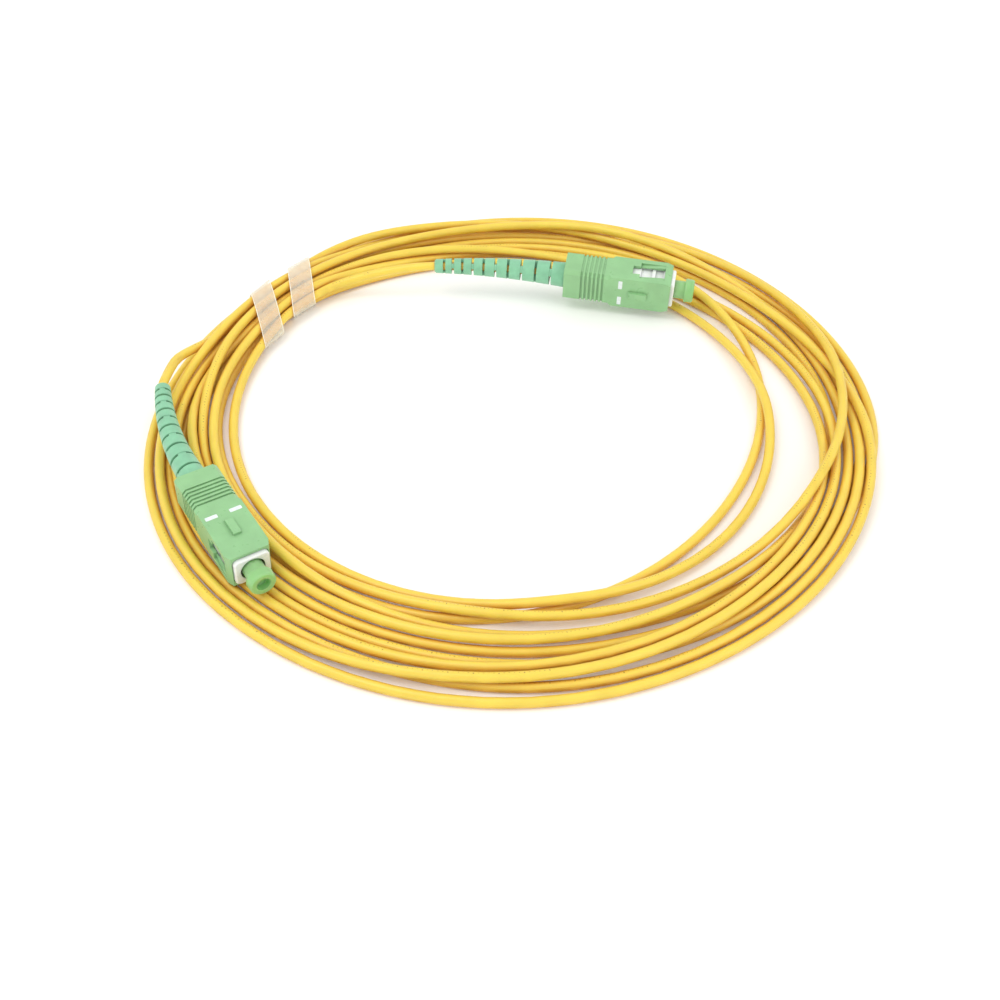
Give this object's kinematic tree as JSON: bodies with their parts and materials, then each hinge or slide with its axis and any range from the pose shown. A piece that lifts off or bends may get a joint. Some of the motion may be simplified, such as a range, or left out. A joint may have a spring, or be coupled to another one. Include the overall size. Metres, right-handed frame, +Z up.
{
  "type": "fiber optic patch cord",
  "caption": "Coiled yellow single-fibre patch cord with a green push-pull plug, bend boot and dust cap at each end, held by clear film bands.",
  "frame": {"origin": "centre of the coil, on the level surface the coil lies on", "axes": "+Z up; +X to the right and +Y away from the viewer, with plug a at the near left (-X, -Y) and plug b at the far right (+X, +Y)"},
  "size_m": [0.1581, 0.1586, 0.0131],
  "materials": {
    "jacket_yellow": "satin extruded jacket",
    "aramid": "loose fine yarn",
    "buffer_white": "smooth extruded",
    "fibre_coating": "clear coated glass",
    "band_film": "frosty clear film",
    "grip_green": "fine satin moulding",
    "frame_white": "glossy moulding",
    "zirconia": "ground and polished ceramic",
    "fibre_glass": "polished glass",
    "flange_metal": "bright nickel",
    "spring_steel": "drawn wire",
    "post_white": "satin moulding",
    "sleeve_metal": "crimped satin metal",
    "boot_green": "matt soft rubber",
    "cap_green": "soft translucent plastic"
  },
  "bodies": {
    "cord": {"cable_jacket": "jacket_yellow", "aramid_yarn": "aramid", "tight_buffer": "buffer_white", "coated_fibre": "fibre_coating", "wrap_band_left": "band_film", "wrap_band_right": "band_film", "plug_frame_a": "frame_white", "back_post_a": "post_white", "crimp_sleeve_a": "sleeve_metal", "boot_a": "boot_green", "ferrule_spring_a": "spring_steel", "plug_frame_b": "frame_white", "back_post_b": "post_white", "crimp_sleeve_b": "sleeve_metal", "boot_b": "boot_green", "ferrule_spring_b": "spring_steel"},
    "grip_a": {"grip_housing_a": "grip_green"},
    "ferrule_a": {"ferrule_a": "zirconia", "ferrule_flange_a": "flange_metal", "fibre_stub_a": "fibre_glass"},
    "cap_a": {"dust_cap_a": "cap_green"},
    "grip_b": {"grip_housing_b": "grip_green"},
    "ferrule_b": {"ferrule_b": "zirconia", "ferrule_flange_b": "flange_metal", "fibre_stub_b": "fibre_glass"},
    "cap_b": {"dust_cap_b": "cap_green"}
  },
  "joints": [
    {"name": "grip_slide_a", "type": "slide", "parent": "cord", "child": "grip_a", "axis": [-0.5382, 0.8416, 0.0454], "range_m": [0, 0.0018]},
    {"name": "ferrule_slide_a", "type": "slide", "parent": "cord", "child": "ferrule_a", "axis": [-0.5382, 0.8416, 0.0454], "range_m": [0, 0.001], "deforming": ["ferrule_spring_a"]},
    {"name": "cap_slide_a", "type": "slide", "parent": "ferrule_a", "child": "cap_a", "axis": [0.5382, -0.8416, -0.0454], "range_m": [0, 0.012]},
    {"name": "grip_slide_b", "type": "slide", "parent": "cord", "child": "grip_b", "axis": [-0.9831, 0.1804, 0.0297], "range_m": [0, 0.0018]},
    {"name": "ferrule_slide_b", "type": "slide", "parent": "cord", "child": "ferrule_b", "axis": [-0.9831, 0.1804, 0.0297], "range_m": [0, 0.001], "deforming": ["ferrule_spring_b"]},
    {"name": "cap_slide_b", "type": "slide", "parent": "ferrule_b", "child": "cap_b", "axis": [0.9831, -0.1804, -0.0297], "range_m": [0, 0.012]}
  ]
}
